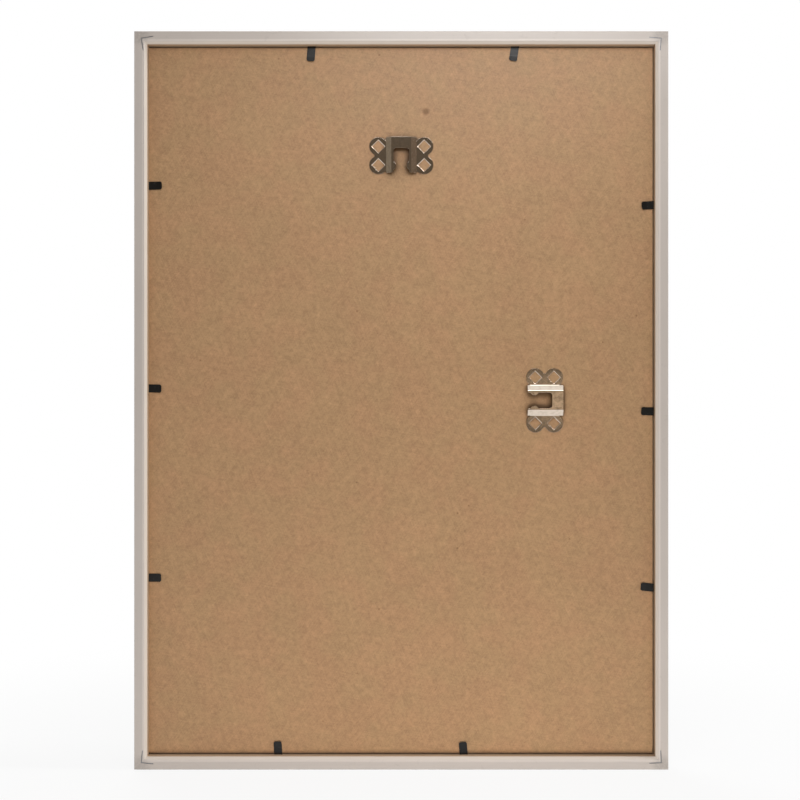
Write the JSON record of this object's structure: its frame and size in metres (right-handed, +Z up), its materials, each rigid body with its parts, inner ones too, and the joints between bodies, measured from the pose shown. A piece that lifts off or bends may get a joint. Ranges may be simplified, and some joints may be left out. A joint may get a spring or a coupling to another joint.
{
  "type": "picture frame",
  "caption": "Back-loading picture frame: mitred white rails, a glazed rebate with a fibreboard back, bendable retaining tabs and slotted wall hangers for hanging upright or on its side.",
  "frame": {"origin": "on the wall plane, level with the line where the wall nail bears in the slot of the portrait hanger", "axes": "+Z up as the frame hangs, +Y from the frame's front towards the wall, so +X is to the right as seen from the front"},
  "size_m": [0.5266, 0.02, 0.728],
  "materials": {
    "white_moulding": "satin",
    "nail_steel": "satin",
    "black_steel": "satin",
    "hanger_steel": "satin",
    "clear_glass": "gloss",
    "plain_paper": "matte",
    "fibreboard": "matte"
  },
  "bodies": {
    "frame": {"top_tab_1_root": "black_steel", "top_tab_2_root": "black_steel", "bottom_tab_1_root": "black_steel", "bottom_tab_2_root": "black_steel", "left_tab_1_root": "black_steel", "left_tab_2_root": "black_steel", "left_tab_3_root": "black_steel", "right_tab_1_root": "black_steel", "right_tab_2_root": "black_steel", "right_tab_3_root": "black_steel", "corner_nail_top_right": "nail_steel", "corner_nail_top_left": "nail_steel", "corner_nail_bottom_right": "nail_steel", "corner_nail_bottom_left": "nail_steel", "top_rail": "white_moulding", "bottom_rail": "white_moulding", "left_rail": "white_moulding", "right_rail": "white_moulding", "portrait_hanger": "hanger_steel", "landscape_hanger": "hanger_steel", "glazing_sheet": "clear_glass", "picture_insert": "plain_paper", "backing_board": "fibreboard"},
    "top_tab_1": {"top_tab_1_blade": "black_steel"},
    "top_tab_2": {"top_tab_2_blade": "black_steel"},
    "bottom_tab_1": {"bottom_tab_1_blade": "black_steel"},
    "bottom_tab_2": {"bottom_tab_2_blade": "black_steel"},
    "left_tab_1": {"left_tab_1_blade": "black_steel"},
    "left_tab_2": {"left_tab_2_blade": "black_steel"},
    "left_tab_3": {"left_tab_3_blade": "black_steel"},
    "right_tab_1": {"right_tab_1_blade": "black_steel"},
    "right_tab_2": {"right_tab_2_blade": "black_steel"},
    "right_tab_3": {"right_tab_3_blade": "black_steel"}
  },
  "joints": [
    {"name": "top_tab_1_bend", "type": "hinge", "parent": "frame", "child": "top_tab_1", "pos_m": [0.08909, -0.0103, 0.1002], "axis": [0.9976, 0, 0.0698], "range_deg": [0, 90]},
    {"name": "top_tab_2_bend", "type": "hinge", "parent": "frame", "child": "top_tab_2", "pos_m": [-0.1128, -0.0103, 0.10022], "axis": [0.9877, 0, 0.1564], "range_deg": [0, 90]},
    {"name": "bottom_tab_1_bend", "type": "hinge", "parent": "frame", "child": "bottom_tab_1", "pos_m": [0.12209, -0.0103, -0.6002], "axis": [-0.9976, 0, 0.0698], "range_deg": [0, 90]},
    {"name": "bottom_tab_2_bend", "type": "hinge", "parent": "frame", "child": "bottom_tab_2", "pos_m": [-0.06189, -0.0103, -0.6002], "axis": [-0.9962, 0, 0.0872], "range_deg": [0, 90]},
    {"name": "left_tab_1_bend", "type": "hinge", "parent": "frame", "child": "left_tab_1", "pos_m": [-0.2495, -0.0103, -0.05609], "axis": [0.0698, 0, 0.9976], "range_deg": [0, 90]},
    {"name": "left_tab_2_bend", "type": "hinge", "parent": "frame", "child": "left_tab_2", "pos_m": [-0.2495, -0.0103, -0.26095], "axis": [-0.0349, 0, 0.9994], "range_deg": [0, 90]},
    {"name": "left_tab_3_bend", "type": "hinge", "parent": "frame", "child": "left_tab_3", "pos_m": [-0.24951, -0.0103, -0.43586], "axis": [-0.1045, 0, 0.9945], "range_deg": [0, 90]},
    {"name": "right_tab_1_bend", "type": "hinge", "parent": "frame", "child": "right_tab_1", "pos_m": [0.2495, -0.0103, -0.03698], "axis": [-0.0175, 0, -0.9998], "range_deg": [0, 90]},
    {"name": "right_tab_2_bend", "type": "hinge", "parent": "frame", "child": "right_tab_2", "pos_m": [0.2495, -0.0103, -0.23805], "axis": [0.0349, 0, -0.9994], "range_deg": [0, 90]},
    {"name": "right_tab_3_bend", "type": "hinge", "parent": "frame", "child": "right_tab_3", "pos_m": [0.2495, -0.0103, -0.426], "axis": [0, 0, -1], "range_deg": [0, 90]}
  ]
}
